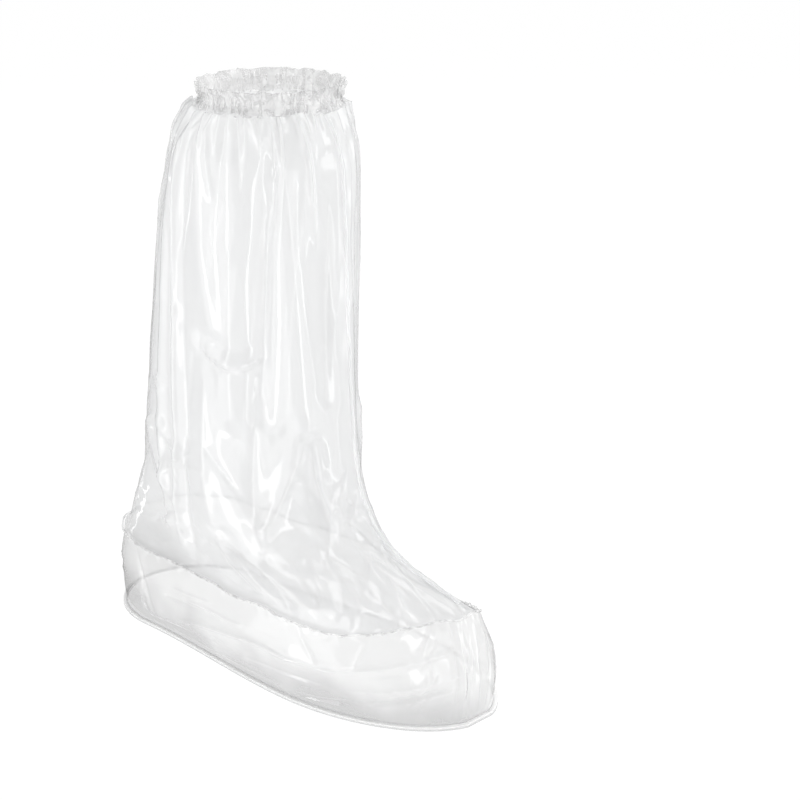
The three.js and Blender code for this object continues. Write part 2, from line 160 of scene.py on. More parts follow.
# The floor's size and brightness, the world's strength, and the point that the softboxes face
FLOOR_SIZE = 40
FLOOR_BRIGHTNESS = 0.99
WORLD_STRENGTH = 0.13
SOFTBOX_AIM = (0, 0, 0.15)

# The leg film in side view, a row for each section from the foot's weld to the collar: front, its
# height, side height, back, its height, width, oval and pinch.
LEG_SECTIONS = np.array([
    [0.968, 0.190, 0.150, -0.970, 0.155, 1.22, 0.00, 0.00],
    [0.905, 0.197, 0.164, -0.966, 0.168, 1.20, 0.04, 0.10],
    [0.815, 0.205, 0.178, -0.958, 0.186, 1.15, 0.14, 0.24],
    [0.715, 0.215, 0.193, -0.947, 0.207, 1.09, 0.30, 0.36],
    [0.600, 0.230, 0.211, -0.932, 0.232, 1.03, 0.50, 0.42],
    [0.500, 0.249, 0.237, -0.915, 0.258, 0.99, 0.70, 0.42],
    [0.410, 0.286, 0.279, -0.903, 0.292, 0.96, 0.87, 0.36],
    [0.346, 0.335, 0.333, -0.898, 0.337, 0.94, 0.97, 0.26],
    [0.310, 0.400, 0.400, -0.886, 0.400, 0.93, 1.00, 0.15],
    [0.293, 0.485, 0.485, -0.866, 0.485, 0.92, 1.00, 0.06],
    [0.284, 0.570, 0.570, -0.832, 0.570, 0.93, 1.00, 0.02],
    [0.276, 0.655, 0.655, -0.790, 0.655, 0.96, 1.00, 0.00],
    [0.270, 0.740, 0.740, -0.742, 0.740, 0.99, 1.00, 0.00],
    [0.263, 0.820, 0.820, -0.676, 0.820, 1.01, 1.00, 0.00],
    [0.250, 0.885, 0.885, -0.614, 0.885, 1.00, 1.00, 0.00],
    [0.216, 0.934, 0.934, -0.536, 0.934, 0.97, 1.00, 0.00],
    [0.180, 0.962, 0.962, -0.450, 0.962, 0.97, 1.00, 0.00],
])
FRONT, FRONT_Z, SIDE_Z, BACK, BACK_Z, WIDTH, OVAL, PINCH = range(8)

# Broad folds of the leg: turn and height, turn and height it runs to, depth and half breadth, both
# as shares of half the leg's width.
BROAD_FOLDS = [
    (116, 0.15, 112, 0.93, 0.065, 0.09),
    (-116, 0.15, -112, 0.93, 0.065, 0.09),
    (-95, 0.93, -81, 0.60, 0.05, 0.16),
    (-70, 0.88, -69, 0.45, 0.06, 0.24),
    (-50, 0.93, -57, 0.45, -0.05, 0.13),
    (-37, 0.90, -38, 0.48, 0.05, 0.20),
    (-20, 0.92, -18, 0.50, -0.05, 0.16),
    (40, 0.90, 42, 0.45, 0.05, 0.20),
    (75, 0.92, 72, 0.42, -0.05, 0.20),
    (150, 0.90, 152, 0.45, -0.05, 0.22),
    (-150, 0.90, -152, 0.45, -0.05, 0.22),
    (-86, 0.575, -60, 0.555, -0.02, 0.14),
    (-34, 0.44, -66, 0.25, 0.06, 0.15),
    (-33, 0.41, -36, 0.28, -0.08, 0.14),
    (-50, 0.26, -60, 0.18, -0.06, 0.12),
    (-84, 0.22, -78, 0.17, -0.06, 0.14),
    (36, 0.44, 64, 0.25, 0.06, 0.18),
    (80, 0.24, 70, 0.17, -0.06, 0.16),
    (-126, 0.47, -110, 0.44, 0.02, 0.12),
    (-134, 0.35, -112, 0.26, 0.03, 0.14),
    (-18, 0.26, -34, 0.20, -0.04, 0.12),
    (22, 0.25, 40, 0.20, -0.04, 0.14),
]

# Creases of the leg: turn and height, turn and height it runs to, depth and half breadth in mm.
# A minus depth goes in.
LEG_CREASES = [
    (-110, 0.955, -104, 0.60, 3.2, 2.0),
    (-104, 0.62, -104, 0.33, 3.4, 1.8),
    (-104, 0.36, -112, 0.18, 3.6, 2.0),
    (-103, 0.93, -98, 0.60, -1.6, 3.0),
    (-98, 0.62, -98, 0.33, -1.8, 3.0),
    (-98, 0.36, -106, 0.18, -1.8, 3.0),
    (110, 0.955, 104, 0.35, 3.0, 2.0),
    (104, 0.38, 112, 0.18, 3.2, 2.0),
    (98, 0.90, 98, 0.30, -1.6, 3.0),
    (-92, 0.963, -111, 0.901, 2.2, 2.2),
    (-92, 0.963, -81, 0.819, 1.8, 3.0),
    (-45, 0.951, -46, 0.867, -3.2, 2.2),
    (-46, 0.880, -48, 0.789, -3.0, 2.2),
    (-25, 0.960, -21, 0.748, 2.6, 3.0),
    (-4, 0.923, -6, 0.732, 1.6, 3.4),
    (-49, 0.847, -58, 0.485, -3.0, 2.6),
    (-58, 0.520, -71, 0.211, -2.6, 3.0),
    (-36, 0.408, -67, 0.233, 3.2, 3.2),
    (-32, 0.417, -34, 0.280, -4.0, 4.4),
    (-34, 0.280, -49, 0.212, -3.6, 3.4),
    (-16, 0.347, -34, 0.280, 3.2, 2.6),
    (-50, 0.236, -58, 0.175, 4.2, 3.4),
    (-60, 0.176, -56, 0.196, -2.6, 3.0),
    (-84, 0.206, -77, 0.168, 4.0, 3.2),
    (-43, 0.203, -48, 0.160, 4.2, 3.0),
    (-24, 0.216, -34, 0.180, 3.6, 2.6),
    (-20, 0.240, -42, 0.196, 3.0, 2.4),
    (-38, 0.196, -30, 0.176, -2.8, 3.0),
    (-92, 0.544, -107, 0.163, -2.0, 4.6),
    (-12, 0.833, -20, 0.459, -1.6, 4.6),
    (-122, 0.472, -108, 0.476, 1.6, 1.6),
    (-130, 0.353, -110, 0.255, 2.0, 1.8),
    (-126, 0.20, -112, 0.235, -2.4, 2.2),
    (-86, 0.50, -90, 0.24, 1.8, 3.0),
    (-70, 0.74, -72, 0.42, 1.4, 3.6),
    (60, 0.60, 92, 0.30, -2.4, 4.0),
    (36, 0.42, 62, 0.24, 2.6, 3.6),
    (20, 0.80, 26, 0.40, -1.6, 4.6),
    (140, 0.44, 108, 0.36, 2.2, 2.4),
    (150, 0.30, 124, 0.20, 2.2, 2.6),
    (-172, 0.90, -168, 0.40, 1.8, 4.4),
    (165, 0.34, 208, 0.26, -2.4, 3.2),
]

# Creases of the side wall: turn and share of its height, turn and share it runs to, depth and half
# breadth in mm
BAND_CREASES = [
    (-114, 0.66, -100, 0.72, 1.6, 1.8),
    (-112, 0.31, -86, 0.53, 3.0, 2.4),
    (-88, 0.52, -57, 0.56, 3.4, 2.6),
    (-59, 0.56, -33, 0.66, 3.2, 2.4),
    (-35, 0.65, -13, 0.74, 2.8, 2.2),
    (-128, 0.12, -84, 0.30, -2.2, 3.6),
    (-84, 0.30, -60, 0.36, -1.8, 3.6),
    (-118, 0.52, -96, 0.60, -1.6, 2.0),
    (-108, 0.60, -88, 0.66, 1.8, 1.8),
    (-50, 0.62, -46, 0.96, 1.8, 2.0),
    (-62, 0.60, -68, 0.96, 2.0, 2.2),
    (-28, 0.70, -24, 0.96, 2.2, 2.6),
    (-67, 0.09, -44, 0.25, -2.6, 3.2),
    (-44, 0.25, -16, 0.41, -5.0, 3.6),
    (-50, 0.34, -14, 0.50, 2.4, 3.0),
    (-15, 0.98, -14, 0.04, -2.4, 2.2),
    (-12, 0.98, -11, 0.04, 3.4, 2.8),
    (-9, 0.96, -8, 0.06, -2.8, 2.4),
    (-8, 0.90, -6, 0.10, 2.0, 3.4),
    (5, 0.04, 4, 0.96, 3.2, 2.6),
    (2, 0.10, 1, 0.90, -2.6, 2.4),
    (-6, 0.30, -3, 0.60, -2.6, 3.0),
    (-12, 0.56, -17, 0.98, 2.6, 2.8),
    (112, 0.31, 60, 0.58, 1.8, 2.4),
    (60, 0.58, 14, 0.66, 1.8, 2.6),
    (90, 0.12, 40, 0.28, -1.8, 3.0),
    (150, 0.55, 178, 0.40, 1.6, 2.4),
    (-150, 0.62, -176, 0.45, 1.6, 2.4),
    (-134, 0.95, -124, 0.20, -2.2, 3.0),
]

# Ledges of the leg and of the side wall: middle turn and half the turn that it covers, then in mm its
# height, rise to both ends, tilt, depth, and the reach of its swelling and of the step below it
LEG_LEDGES = [
    (-71, 17, 244, 12, 0, 4.4, 15, 1.6),
]
BAND_LEDGES = [
    (-27, 19, 20, 0, 8, 4.2, 26, 10),
    (-98, 44, 16, 0, 7, 3.0, 28, 14),
]

# Facets of the leg by the ankle: turn, then in mm height, half width and half height, then lean, the
# place of the ridge from -1 to 1, and depth in mm
LEG_FACETS = [
    (-81, 86, 10, 15, -0.5, -0.5, 3.0),
    (-54, 94, 8, 24, 0.3, 0.5, 3.0),
    (-45, 84, 6, 18, 0.3, -0.4, 2.4),
    (-25, 142, 8, 32, 0.5, 0.4, 3.0),
    (-33, 162, 10, 32, 0.0, 0.5, 3.4),
    (-29, 92, 7, 22, 0.4, -0.4, 2.6),
    (-118, 98, 9, 10, 0.6, 0.3, 2.6),
    (-68, 118, 9, 26, 0.4, 0.5, 2.2),
    (-95, 150, 8, 30, 0.0, -0.5, 2.0),
    (-10, 112, 8, 24, 0.6, 0.4, 2.6),
    (-112, 176, 6, 22, -0.4, -0.3, 2.2),
]

# Small creases strewn over patches of the leg and of the side wall: seed, count, turns, heights,
# lengths in mm, leans in degrees, then the greatest depth and half breadth in mm
LEG_PATCHES = [
    (3, 44, (-180, 180), (0.16, 0.36), (14, 44), (-50, 50), 2.0, 2.4),
    (4, 12, (-180, -112), (0.20, 0.44), (12, 30), (20, 70), 1.1, 2.2),
    (5, 36, (-70, 70), (0.14, 0.26), (10, 30), (-60, 60), 1.8, 2.2),
    (6, 30, (-180, 180), (0.50, 0.92), (30, 110), (-9, 9), 1.4, 3.2),
]
BAND_PATCHES = [
    (31, 40, (-180, 180), (0.1, 0.7), (10, 34), (20, 160), 1.3, 1.8),
    (32, 26, (-34, 34), (0.1, 0.7), (10, 36), (-50, 50), 1.5, 1.8),
    (33, 24, (150, 210), (0.1, 0.7), (10, 30), (-60, 60), 1.5, 1.8),
]


def mix(a, b, t):
    return a + (b - a) * t


def smooth(low, high, x):
    t = np.clip((x - low) / (high - low), 0, 1)
    return t * t * (3 - 2 * t)


# Plan and side view of the foot


def sole_half_width(x):
    heel_x = -HALF_LENGTH + HEEL_ROUND_LENGTH
    ball_x = HALF_LENGTH - BALL_TO_TOE
    heel = np.clip((heel_x - x) / HEEL_ROUND_LENGTH, 0, 1)
    toe = np.clip((x - ball_x) / (BALL_TO_TOE + TOE_CUT), 0, 1)
    at_heel = HEEL_WIDTH / 2 * np.sqrt(1 - heel**2)
    between = mix(HEEL_WIDTH, BALL_WIDTH, smooth(heel_x, ball_x, x)) / 2
    at_toe = HALF_BALL * (1 - toe**TOE_ROUND_POWER) ** (1 / TOE_ROUND_POWER)
    return np.where(x < heel_x, at_heel, np.where(x < ball_x, between, at_toe))


def sole_plan(turn, inset):
    along = -HALF_LENGTH + (FOOT_LENGTH + TOE_CUT) * (1 + np.cos(turn)) / 2
    x = np.minimum(along, HALF_LENGTH)
    y = np.sign(np.sin(turn)) * sole_half_width(along)
    return x * (1 - inset / HALF_LENGTH), y * (1 - inset / HALF_BALL)


def sunk(turn):
    share = sole_plan(turn, 0)[0] / HALF_LENGTH
    return smooth(0, 0.5, np.sin(turn)) * smooth(0, 0.45, share)


def band_top(turn):
    share = sole_plan(turn, 0)[0] / HALF_LENGTH
    rear = mix(BAND_HEEL_HEIGHT, BAND_WAIST_HEIGHT, smooth(-0.9, -0.5, share))
    wander = SEAM_WANDER * waves(turn, 61, 5, 24, 8)
    return mix(rear, BAND_TOE_HEIGHT, smooth(0.45, 1, share) ** 1.5) - FAR_SAG * sunk(turn) + wander


def band_inset(turn, share):
    toe = TOE_LEAN * np.maximum(np.cos(turn), 0) ** 6 * share**4
    return BAND_INSET + toe + FAR_LEAN * sunk(turn) * share**2


def band_points(turn, share):
    z = mix(SOLE_TOP, band_top(turn), share)
    x, y = sole_plan(turn, band_inset(turn, share) - BAND_BULGE * np.sin(np.pi * share))
    return np.stack([x, y, z], -1)


# The leg and vamp


def section(share):
    last = len(LEG_SECTIONS) - 1
    at = np.clip(share, 0, 1) * last
    row = np.minimum(at.astype(int), last - 1)
    t = (at - row)[..., None]
    a, b, c, d = (LEG_SECTIONS[np.clip(row + step, 0, last)] for step in (-1, 0, 1, 2))
    bend = 2 * a - 5 * b + 4 * c - d + t * (3 * b - a - 3 * c + d)
    return b + 0.5 * t * (c - a + t * bend)


def segment_distance(x, y, x0, y0, x1, y1, period=None):
    """Distance from (x, y) to a segment, and the share along it, with x wrapped at period."""
    run_x, run_y = x1 - x0, y1 - y0
    from_x, from_y = x - x0, y - y0
    if period is not None:
        middle = run_x / 2
        from_x = (from_x - middle + period / 2) % period - period / 2 + middle
    along = (from_x * run_x + from_y * run_y) / (run_x**2 + run_y**2)
    held = np.clip(along, 0, 1)
    return np.hypot(from_x - run_x * held, from_y - run_y * held), along


def broad_relief(degrees, z, across):
    total = np.zeros_like(z)
    for turn, low, to_turn, high, depth, width in BROAD_FOLDS:
        away, _ = segment_distance(
            degrees * across, z, turn * across, low * COVER_HEIGHT,
            to_turn * across, high * COVER_HEIGHT,
        )
        total += depth * HALF_LEG * np.exp(-((away / (width * HALF_LEG)) ** 2))
    return total


def collar_ring(radius, turn, z):
    """Points round the collar's axis."""
    level = z + np.zeros_like(turn)
    return np.stack([COLLAR_CENTRE_X + radius * np.cos(turn), radius * np.sin(turn), level], -1)


def leg_points(turn, share):
    s = section(share)
    along, aside = np.cos(turn), np.sin(turn)
    foot = band_points(turn, np.ones_like(share))
    foot_half_x = HALF_LENGTH - BAND_INSET
    foot_half_y = foot_half_x * HALF_BALL / HALF_LENGTH
    sag = sunk(turn) * (1 - smooth(0, VAMP_SHARE, share))
    end_z = np.where(along > 0, s[..., FRONT_Z], s[..., BACK_Z])
    height = mix(s[..., SIDE_Z], end_z, along**2) * COVER_HEIGHT
    z = np.minimum(height, COLLAR_FOOT_Z) - FAR_SAG * sag
    centre = (s[..., FRONT] + s[..., BACK]) / 2 * HALF_LENGTH
    half_x = (s[..., FRONT] - s[..., BACK]) / 2 * HALF_LENGTH
    half_y = s[..., WIDTH] * HALF_LEG
    degrees = np.degrees(np.arctan2(aside, along))
    across = (half_x + half_y) / 2 * math.radians(1)
    drape = DRAPE_DEPTH * smooth(0.2, 0.45, z / COVER_HEIGHT) * np.cos(4 * turn + 1)
    out = (broad_relief(degrees, z, across) + drape) * smooth(0, 0.04, COLLAR_FOOT_Z - z)
    out = out * smooth(0, 0.2, share)
    narrow = 1 - s[..., PINCH] * np.maximum(along, 0) ** 2 - FAR_LEAN / HALF_BALL * sag
    oval = np.clip(s[..., OVAL], 0, 1)
    x = mix(centre + foot[..., 0] / foot_half_x * half_x, centre + (half_x + out) * along, oval)
    y = mix(foot[..., 1] / foot_half_y * half_y, (half_y + out) * aside, oval) * narrow
    last = len(LEG_SECTIONS) - 1
    points = mix(foot, np.stack([x, y, z], -1), smooth(0, 1 / last, share)[..., None])
    foot_of_collar = collar_ring(COLLAR_RIM_RADIUS + 1.5 * MM, turn, COLLAR_FOOT_Z)
    return mix(points, foot_of_collar, smooth(1 - 1.5 / last, 1, share)[..., None])


# Fine relief of the film


def creases(table, degrees, height, across, tall):
    """The sum of a table's creases in metres. Each is sharp along its line and fades to its ends."""
    total = np.zeros_like(height)
    period = 360 * across
    for turn, low, to_turn, high, depth, breadth in table:
        away, along = segment_distance(
            degrees * across, height * tall, turn * across, low * tall,
            to_turn * across, high * tall, period,
        )
        held = np.clip(along, 0, 1)
        fade = np.sqrt(np.sin(np.pi * mix(0.06, 0.94, held)))
        total += depth * MM * fade * np.exp(-away / (breadth * MM))
    return total


def strewn(patches, across, tall):
    """A table of small creases strewn over patches of the film."""
    rows = []
    for seed, count, turns, heights, lengths, leans, depth, breadth in patches:
        rng = np.random.default_rng(seed)
        for _ in range(count):
            turn = rng.uniform(*turns)
            low = rng.uniform(*heights)
            length = rng.uniform(*lengths) * MM
            lean = math.radians(rng.uniform(*leans))
            to_turn = turn + length * math.sin(lean) / across
            high = low + length * math.cos(lean) / tall
            sign = 1 if rng.random() < CREASE_OUT_SHARE else -1
            size = rng.uniform(0.4, 1)
            rows.append((turn, low, to_turn, high, sign * size * depth, mix(0.6, 1, size) * breadth))
    return rows


def facets(degrees, height, across, tall, cell, seed):
    """Hollow facets with sharp ridges between them, from -0.4 to 0.6. cell is their breadth and height."""
    rng = np.random.default_rng(seed)
    count = int(360 * across * tall / (cell[0] * cell[1]))
    nearest = np.full_like(height, FACET_REACH)
    for _ in range(count):
        turn = rng.uniform(-180, 180)
        middle = rng.uniform(-0.05, 1.05)
        off_turn = (degrees - turn + 180) % 360 - 180
        off_x = off_turn * across / cell[0]
        off_y = (height - middle) * tall / cell[1]
        nearest = np.minimum(nearest, off_x**2 + off_y**2)
    return nearest / FACET_REACH - FACET_OFFSET


def pleats(turn_degrees, below, across, seed, count, depths, lengths, breadths):
    """Gathers that fan out from an edge: ridges at uneven turns, each with its own length."""
    rng = np.random.default_rng(seed)
    total = np.zeros_like(below)
    for number in range(count):
        turn = (number + rng.uniform(-0.4, 0.4)) * 360 / count
        depth = rng.uniform(*depths) * MM * (1 if rng.random() < PLEAT_OUT_SHARE else -0.7)
        length = rng.uniform(*lengths) * MM
        breadth = rng.uniform(*breadths) * MM
        drift = rng.uniform(-7, 7)
        run = np.clip(below / length, 0, 1)
        off = (turn_degrees - turn - drift * run + 180) % 360 - 180
        away = np.abs(off) * across / (breadth * mix(1, 3, run))
        total += depth * (1 - run) ** 1.3 * np.exp(-away)
    return total


def waves(turn, seed, lowest, highest, count):
    """An uneven ripple round the collar or a weld, between about -1 and 1."""
    rng = np.random.default_rng(seed)
    total = np.zeros_like(turn)
    for _ in range(count):
        total += np.cos(rng.integers(lowest, highest) * turn + rng.uniform(0, 2 * np.pi))
    return total / math.sqrt(count / 2) / 1.6


def signed_degrees(turn):
    return np.degrees(np.arctan2(np.sin(turn), np.cos(turn)))


def ledges(table, degrees, z):
    """Swellings that grow slowly downwards and step in below, each along a curved or tilted line."""
    total = np.zeros_like(z)
    for turn, half_turn, height, rise, tilt, depth, swell, step in table:
        off = np.clip((degrees - turn) / half_turn, -1, 1)
        over = z - (height + rise * off**2 + tilt * off) * MM
        profile = np.where(over > 0, 1 - over / (swell * MM), 1 + over / (step * MM))
        total += depth * MM * (1 - off**4) * np.clip(profile, 0, 1)
    return total


def tents(table, degrees, z, across):
    """Flat-sided peaks on diamond bases, which catch the light as crisp facets."""
    total = np.zeros_like(z)
    for turn, height, half_width, half_height, lean, skew, depth in table:
        up = z - height * MM
        off = ((degrees - turn + 180) % 360 - 180) * across - lean * up
        off = np.clip(off / (half_width * MM), -1, 1)
        flank = np.where(off < skew, (skew - off) / (1 + skew), (off - skew) / (1 - skew))
        total += depth * MM * np.clip(1 - flank - np.abs(up) / (half_height * MM), 0, 1)
    return total


def leg_relief(turn, share, points):
    degrees = signed_degrees(turn)
    z = points[..., 2]
    height = z / COVER_HEIGHT
    below = COLLAR_FOOT_Z - z
    above_seam = share * LEG_RUN
    size = (LEG_DEGREE, COVER_HEIGHT)
    relief = creases(LEG_CREASES + strewn(LEG_PATCHES, *size), degrees, height, *size)
    relief += ledges(LEG_LEDGES, degrees, z) + tents(LEG_FACETS, degrees, z, LEG_DEGREE)
    low = 1 - smooth(0.22, 0.42, height)
    panels = facets(degrees, height, *size, cell=(26 * MM, 120 * MM), seed=11)
    ankle = facets(degrees, height, *size, cell=(24 * MM, 34 * MM), seed=12)
    relief += PANEL_DEPTH * panels * (1 - low) + ANKLE_DEPTH * ankle * low
    relief *= smooth(0, COLLAR_FADE, below)
    relief += pleats(
        degrees, below, LEG_DEGREE, seed=21, count=52,
        depths=(2.0, 5.4), lengths=(28, 130), breadths=(1.4, 3.0),
    )
    gathers = facets(degrees, height, *size, cell=(7 * MM, 13 * MM), seed=14)
    relief += GATHER_DEPTH * gathers * (1 - smooth(0, GATHER_REACH, below))
    off_seam = smooth(0, SEAM_FADE, above_seam)
    crinkles = facets(degrees, height, *size, cell=(9 * MM, 8 * MM), seed=15)
    relief += SEAM_CRINKLE_DEPTH * crinkles * (1 - smooth(0.19, 0.27, height))
    puckers = pleats(
        degrees, above_seam, LEG_DEGREE * 2.2, seed=22, count=150,
        depths=(0.3, 0.9), lengths=(5, 16), breadths=(0.8, 1.6),
    )
    return relief * off_seam + puckers * smooth(0, PUCKER_FADE, above_seam)


def band_relief(turn, share):
    degrees = signed_degrees(turn)
    below = (1 - share) * BAND_WAIST_HEIGHT
    size = (BAND_DEGREE, BAND_WAIST_HEIGHT)
    relief = creases(BAND_CREASES + strewn(BAND_PATCHES, *size), degrees, share, *size)
    relief += ledges(BAND_LEDGES, degrees, share * BAND_WAIST_HEIGHT)
    relief += BAND_FACET_DEPTH * facets(degrees, share, *size, cell=(40 * MM, 22 * MM), seed=13)
    relief *= np.sin(np.pi * share) ** 0.6
    puckers = pleats(
        degrees, below, BAND_DEGREE, seed=34, count=170,
        depths=(0.3, 0.9), lengths=(4, 14), breadths=(0.8, 1.6),
    )
    return relief + puckers * smooth(0, PUCKER_FADE, below)


def collar_points(turn, share):
    """The collar's casing, which goes up its outside, over the rim and down its inside."""
    climb = 1 - np.abs(2 * share - 1)
    inside = smooth(0.47, 0.53, share)
    spread = smooth(0.55, 1, climb)
    foot_spread = 1 - smooth(0, 0.35, climb)
    rough = waves(turn, 42, 9, 26, 5)
    slanted = signed_degrees(turn) + waves(turn, 45, 4, 13, 4) * 3 * climb
    size = (COLLAR_DEGREE, COLLAR_HEIGHT)
    outer_crimps = facets(slanted, climb, *size, cell=(4.6 * MM, 6 * MM), seed=46)
    inner_crimps = facets(slanted, climb, *size, cell=(9.0 * MM, 18 * MM), seed=47)
    crimps = mix(outer_crimps, inner_crimps, inside)
    fine = waves(slanted * DEGREE, 41, 34, 76, 9)
    radius = COLLAR_RIM_RADIUS - COLLAR_WAIST * (1 - spread) * (1 - 0.7 * foot_spread)
    radius = radius + (CRIMP_DEPTH * crimps + FINE_CRIMP_DEPTH * fine) * mix(1, 0.3, spread)
    radius = radius + RUFFLE_DEPTH * rough * spread - CASING_FOLD * inside
    rim_rise = (0.8 * rough + 0.35 * fine) * MM * spread
    hem = -HEM_DROP * (1 + waves(turn, 48, 12, 44, 8)) * (1 - smooth(0, 0.3, climb)) * (1 - inside)
    z = COLLAR_FOOT_Z + PIECE_GAP + (COLLAR_HEIGHT - PIECE_GAP) * climb + rim_rise + hem
    return collar_ring(radius, turn, z)


# Meshes from grids


def grid(columns, rows):
    """Turn and share at each point of a grid that closes on itself round the foot."""
    turn = np.linspace(0, 2 * np.pi, columns, endpoint=False)
    share = np.linspace(0, 1, rows + 1)
    return np.meshgrid(turn, share)


def unit(vectors):
    return vectors / np.maximum(np.linalg.norm(vectors, axis=-1, keepdims=True), TINY)


def normals(points):
    round_step = np.roll(points, -1, 1) - np.roll(points, 1, 1)
    return unit(np.cross(round_step, np.gradient(points, axis=0)))


def mesh_from_grid(name, points, material, other_rows=(), other_material=None):
    """A mesh that closes on itself along its rows. Some rows of faces can have another material."""
    rows, columns = points.shape[:2]
    index = np.arange(rows * columns).reshape(rows, columns)
    right = np.roll(index, -1, 1)
    faces = np.stack([index[:-1], right[:-1], right[1:], index[1:]], -1).reshape(-1, 4)
    mesh = bpy.data.meshes.new(name)
    mesh.vertices.add(rows * columns)
    mesh.vertices.foreach_set("co", points.astype(np.float32).ravel())
    mesh.loops.add(faces.size)
    mesh.loops.foreach_set("vertex_index", faces.astype(np.int32).ravel())
    mesh.polygons.add(len(faces))
    mesh.polygons.foreach_set("loop_start", np.arange(0, faces.size, 4, dtype=np.int32))
    mesh.update(calc_edges=True)
    mesh.validate()
    mesh.shade_smooth()
    mesh.materials.append(material)
    if other_material:
        mesh.materials.append(other_material)
        row_of_face = np.arange(len(faces)) // columns
        mesh.polygons.foreach_set("material_index", np.isin(row_of_face, other_rows).astype(np.int32))
    piece = bpy.data.objects.new(name, mesh)
    bpy.context.scene.collection.objects.link(piece)
    return piece

def loop_mesh(name, path, half_width, half_height, sides, material):
    """A tube of rounded section round a closed path, which runs anticlockwise seen from above."""
    run = np.roll(path, -1, 0) - np.roll(path, 1, 0)
    out = unit(np.stack([run[:, 1], -run[:, 0], np.zeros(len(run))], -1))
    angle = np.linspace(0, 2 * np.pi, sides, endpoint=False)[:, None]
    across = (np.cos(angle) * half_width)[..., None] * out
    rise = (np.sin(angle) * half_height)[..., None] * np.array([0, 0, 1])
    points = path + across + rise
    return mesh_from_grid(name, np.concatenate([points, points[:1]]), material)


# Materials


def film_material(name, colour, alpha, roughness, ior=1.7, crinkle_scale=45, crinkle=0.04):
    """Glossy film, clear by its alpha alone, with a fine crinkle that only bends its highlights."""
    material = bpy.data.materials.new(name)
    material.use_nodes = True
    nodes = material.node_tree.nodes
    links = material.node_tree.links
    shader = nodes["Principled BSDF"]
    shader.inputs["Base Color"].default_value = (*colour, 1)
    shader.inputs["Roughness"].default_value = roughness
    shader.inputs["IOR"].default_value = ior
    shader.inputs["Alpha"].default_value = alpha
    place = nodes.new("ShaderNodeTexCoord")
    noise = nodes.new("ShaderNodeTexNoise")
    noise.inputs["Scale"].default_value = crinkle_scale
    noise.inputs["Detail"].default_value = 5
    noise.inputs["Distortion"].default_value = 1.5
    bump = nodes.new("ShaderNodeBump")
    bump.inputs["Strength"].default_value = crinkle
    bump.inputs["Distance"].default_value = 0.002
    links.new(place.outputs["Object"], noise.inputs["Vector"])
    links.new(noise.outputs["Fac"], bump.inputs["Height"])
    links.new(bump.outputs["Normal"], shader.inputs["Normal"])
    return material


def painted_light_flecks(material, scale, stretch, dark, light):
    """Random dark and light flecks: painted shade and painted highlights of crumpled film, with the darker
    tone of film that lies in several layers.
    """
    nodes = material.node_tree.nodes
    links = material.node_tree.links
    place = nodes.new("ShaderNodeTexCoord")
    sizes = nodes.new("ShaderNodeMapping")
    sizes.inputs["Scale"].default_value = (1, 1, stretch)
    noise = nodes.new("ShaderNodeTexNoise")
    noise.inputs["Scale"].default_value = scale
    noise.inputs["Detail"].default_value = 3
    noise.inputs["Distortion"].default_value = 2
    ramp = nodes.new("ShaderNodeValToRGB")
    for element, edge, tone in zip(ramp.color_ramp.elements, (0.40, 0.60), (dark, light)):
        element.position = edge
        element.color = (tone, tone, tone, 1)
    links.new(place.outputs["Object"], sizes.inputs["Vector"])
    links.new(sizes.outputs["Vector"], noise.inputs["Vector"])
    links.new(noise.outputs["Fac"], ramp.inputs["Fac"])
    links.new(ramp.outputs["Color"], nodes["Principled BSDF"].inputs["Base Color"])


def math_node(nodes, operation, value=0):
    node = nodes.new("ShaderNodeMath")
    node.operation = operation
    node.inputs[1].default_value = value
    return node


def painted_shade_to_weld(material, reach, dark, light, drift_reaches=2.2, heel_rise=0.16):
    """Painted shade: film whose colour greys unevenly towards the sole's weld, more at the heel, less on the
    wearer's left.

    The grey's edge wanders by drift_reaches, and lies heel_rise higher for each metre to the heel.
    """
    nodes = material.node_tree.nodes
    links = material.node_tree.links
    place = nodes.new("ShaderNodeTexCoord")
    parts = nodes.new("ShaderNodeSeparateXYZ")
    noise = nodes.new("ShaderNodeTexNoise")
    noise.inputs["Scale"].default_value = 14
    noise.inputs["Detail"].default_value = 2
    heel = math_node(nodes, "MINIMUM")
    left = math_node(nodes, "MAXIMUM")
    lower = math_node(nodes, "MULTIPLY_ADD", heel_rise)
    height = math_node(nodes, "ADD")
    drift = math_node(nodes, "MULTIPLY_ADD", -drift_reaches * reach)
    rise = nodes.new("ShaderNodeMapRange")
    rise.interpolation_type = "SMOOTHSTEP"
    rise.inputs["From Min"].default_value = -1.1 * reach
    rise.inputs["From Max"].default_value = reach * 0.1
    rise.inputs["To Min"].default_value = dark
    rise.inputs["To Max"].default_value = light
    links.new(place.outputs["Object"], parts.inputs["Vector"])
    links.new(place.outputs["Object"], noise.inputs["Vector"])
    links.new(parts.outputs["X"], heel.inputs[0])
    links.new(parts.outputs["Y"], left.inputs[0])
    links.new(heel.outputs["Value"], lower.inputs[0])
    links.new(left.outputs["Value"], lower.inputs[2])
    links.new(lower.outputs["Value"], height.inputs[0])
    links.new(parts.outputs["Z"], height.inputs[1])
    links.new(noise.outputs["Fac"], drift.inputs[0])
    links.new(height.outputs["Value"], drift.inputs[2])
    links.new(drift.outputs["Value"], rise.inputs["Value"])
    links.new(rise.outputs["Result"], nodes["Principled BSDF"].inputs["Base Color"])


